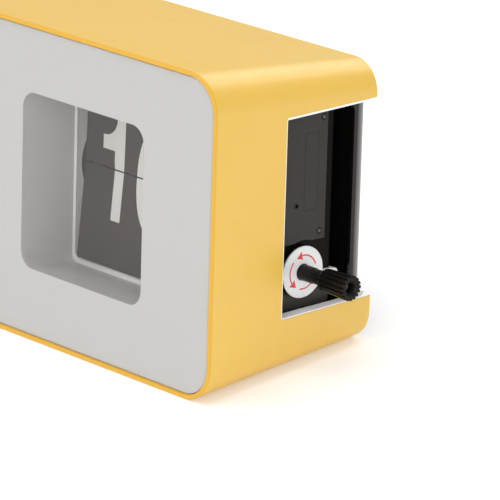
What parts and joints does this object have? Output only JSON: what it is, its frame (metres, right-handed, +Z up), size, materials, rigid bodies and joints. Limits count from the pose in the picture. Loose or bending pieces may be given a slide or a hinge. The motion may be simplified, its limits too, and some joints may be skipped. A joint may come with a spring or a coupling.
{
  "type": "flip number clock",
  "caption": "Table clock with falling leaf numerals: leaning grey face with rounded windows, hours and minutes drums, tapered sleeve, and a setting knob in a side notch.",
  "frame": {"origin": "centre of the flat base, on the surface the clock stands on", "axes": "+X to the right as seen from the front, +Y from the face to the back, +Z up"},
  "size_m": [0.3825, 0.1448, 0.1852],
  "materials": {
    "sleeve_yellow": "satin",
    "trim_white": "satin",
    "lens_clear": "clear and polished",
    "face_grey": "semi-gloss",
    "tunnel_grey": "matt",
    "case_black": "gloss",
    "cover_black": "matt",
    "screw_black": "satin",
    "drum_black": "matt",
    "leaf_black": "matt with white numerals",
    "gear_white": "satin",
    "knob_black": "satin",
    "disc_white": "semi-gloss with red arrows",
    "motor_grey": "satin",
    "steel": "zinc plated",
    "spring_steel": "bright",
    "brass": "turned",
    "board_green": "satin",
    "cell_red": "gloss",
    "lead_red": "satin"
  },
  "bodies": {
    "case": {"outer_sleeve": "sleeve_yellow", "notch_trim": "trim_white", "front_lens": "lens_clear", "face_plate": "face_grey", "tunnel_minutes": "tunnel_grey", "tunnel_hours": "tunnel_grey", "back_cover": "case_black", "back_screws": "steel", "frame_plate_right": "steel", "frame_plate_left": "steel", "centre_plate": "steel", "spacer_rods": "steel", "rod_nuts": "brass", "frame_screws": "steel", "main_axle": "steel", "idler_pin": "steel", "setting_disc": "disc_white", "gear_cover": "cover_black", "cover_screws": "screw_black", "motor_unit": "motor_grey", "lead_clip": "trim_white", "circuit_board": "board_green", "battery_box": "case_black", "battery_cell": "cell_red", "contact_plate": "spring_steel", "contact_spring": "spring_steel", "battery_lead_red": "lead_red", "minute_leaf_lower": "leaf_black", "minute_fan_upper": "leaf_black", "minute_fan_lower": "leaf_black", "hour_leaf_lower": "leaf_black", "hour_fan_upper": "leaf_black", "hour_fan_lower": "leaf_black", "minute_finger": "spring_steel", "hour_finger": "spring_steel"},
    "minute_drum": {"minute_hub": "drum_black", "minute_disc_inner": "drum_black", "minute_disc_outer": "drum_black", "minute_gear": "gear_white", "minute_pinion": "gear_white"},
    "hour_drum": {"hour_hub": "drum_black", "hour_disc_inner": "drum_black", "hour_disc_outer": "drum_black", "hour_gear": "gear_white"},
    "countershaft": {"counter_gear": "gear_white", "counter_pinion": "gear_white", "counter_shaft": "steel"},
    "idler": {"idler_gear": "gear_white"},
    "knob": {"knob_gear": "gear_white", "knob_shaft": "steel", "knob_stem": "knob_black", "knob_grip": "knob_black"},
    "motor_rotor": {"motor_pinion": "brass", "motor_shaft": "steel"},
    "minute_leaf": {"minute_leaf_upper": "leaf_black"},
    "hour_leaf": {"hour_leaf_upper": "leaf_black"},
    "battery_lid": {"battery_door": "case_black"}
  },
  "joints": [
    {"name": "minute_spin", "type": "hinge", "parent": "case", "child": "minute_drum", "pos_m": [0.066, 0.0158, 0.08938], "axis": [1, 0, 0], "continuous": true},
    {"name": "hour_spin", "type": "hinge", "parent": "case", "child": "hour_drum", "pos_m": [-0.066, 0.0158, 0.08938], "axis": [1, 0, 0], "continuous": true},
    {"name": "countershaft_spin", "type": "hinge", "parent": "case", "child": "countershaft", "pos_m": [0, 0.02768, 0.06403], "axis": [1, 0, 0], "continuous": true},
    {"name": "idler_spin", "type": "hinge", "parent": "case", "child": "idler", "pos_m": [0.13, 0.03279, 0.06133], "axis": [1, 0, 0], "continuous": true},
    {"name": "knob_spin", "type": "hinge", "parent": "case", "child": "knob", "pos_m": [0.17, 0.02306, 0.05183], "axis": [1, 0, 0], "continuous": true},
    {"name": "motor_spin", "type": "hinge", "parent": "case", "child": "motor_rotor", "pos_m": [0.13, -0.00566, 0.06785], "axis": [1, 0, 0], "continuous": true},
    {"name": "minute_leaf_fall", "type": "hinge", "parent": "case", "child": "minute_leaf", "pos_m": [0.06625, -0.00973, 0.0943], "axis": [1, 0, 0], "range_deg": [0, 168.5]},
    {"name": "hour_leaf_fall", "type": "hinge", "parent": "case", "child": "hour_leaf", "pos_m": [-0.06625, -0.00973, 0.0943], "axis": [1, 0, 0], "range_deg": [0, 168.5]},
    {"name": "battery_door_hinge", "type": "hinge", "parent": "case", "child": "battery_lid", "pos_m": [-0.1425, 0.06409, 0.02934], "axis": [-1, 0, 0], "range_deg": [0, 100]}
  ],
  "couplings": [
    {"joint": "hour_spin", "follows": "minute_spin", "ratio": 0.041667},
    {"joint": "countershaft_spin", "follows": "minute_spin", "ratio": -0.25},
    {"joint": "idler_spin", "follows": "minute_spin", "ratio": -3.5556},
    {"joint": "knob_spin", "follows": "minute_spin", "ratio": 4},
    {"joint": "motor_spin", "follows": "minute_spin", "ratio": -5.3333}
  ]
}
